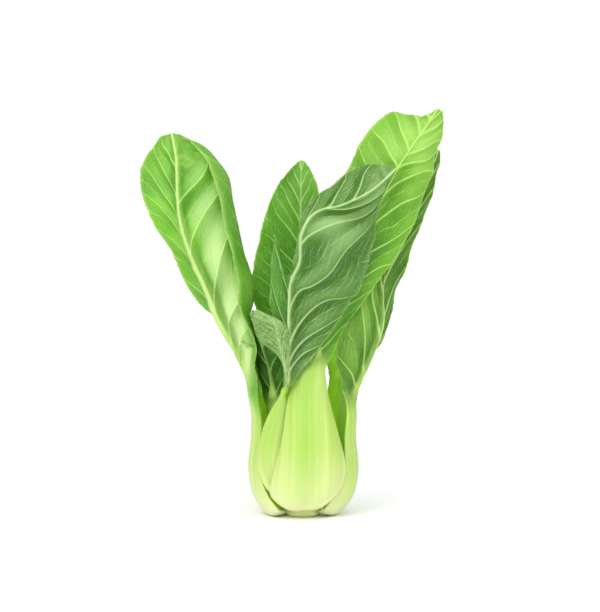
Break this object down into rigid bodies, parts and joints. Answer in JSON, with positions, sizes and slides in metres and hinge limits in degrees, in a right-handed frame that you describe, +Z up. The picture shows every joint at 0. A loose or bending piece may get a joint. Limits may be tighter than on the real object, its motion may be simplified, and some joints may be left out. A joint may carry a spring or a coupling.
{
  "type": "bok choy",
  "caption": "A fresh green head of bok choy standing on its cut stem, with a pale bulb of overlapping stalks and upright waved leaf blades with midribs.",
  "frame": {"origin": "the middle of the cut face of the stem, on which the head stands", "axes": "+Z up along the head, the face that the picture shows towards -Y, +X to the right in the picture"},
  "size_m": [0.1453, 0.0715, 0.196],
  "materials": {
    "stem_cream": "matte, slightly fibrous cut stem",
    "stalk_pale": "smooth, moist and faintly ribbed pale green",
    "leaf_green": "satin green with paler veins"
  },
  "bodies": {
    "root": {"stem_base": "stem_cream", "leaf_left_stalk": "stalk_pale", "leaf_left_blade": "leaf_green", "leaf_right_stalk": "stalk_pale", "leaf_right_blade": "leaf_green", "leaf_front_stalk": "stalk_pale", "leaf_front_blade": "leaf_green", "leaf_front_left_stalk": "stalk_pale", "leaf_front_left_blade": "leaf_green", "leaf_back_right_stalk": "stalk_pale", "leaf_back_right_blade": "leaf_green", "leaf_back_left_stalk": "stalk_pale", "leaf_back_left_blade": "leaf_green", "leaf_inner_back_stalk": "stalk_pale", "leaf_inner_back_blade": "leaf_green", "leaf_inner_left_stalk": "stalk_pale", "leaf_inner_left_blade": "leaf_green", "leaf_heart_front_stalk": "stalk_pale", "leaf_heart_front_blade": "leaf_green", "leaf_heart_back_stalk": "stalk_pale", "leaf_heart_back_blade": "leaf_green"}
  },
  "joints": []
}
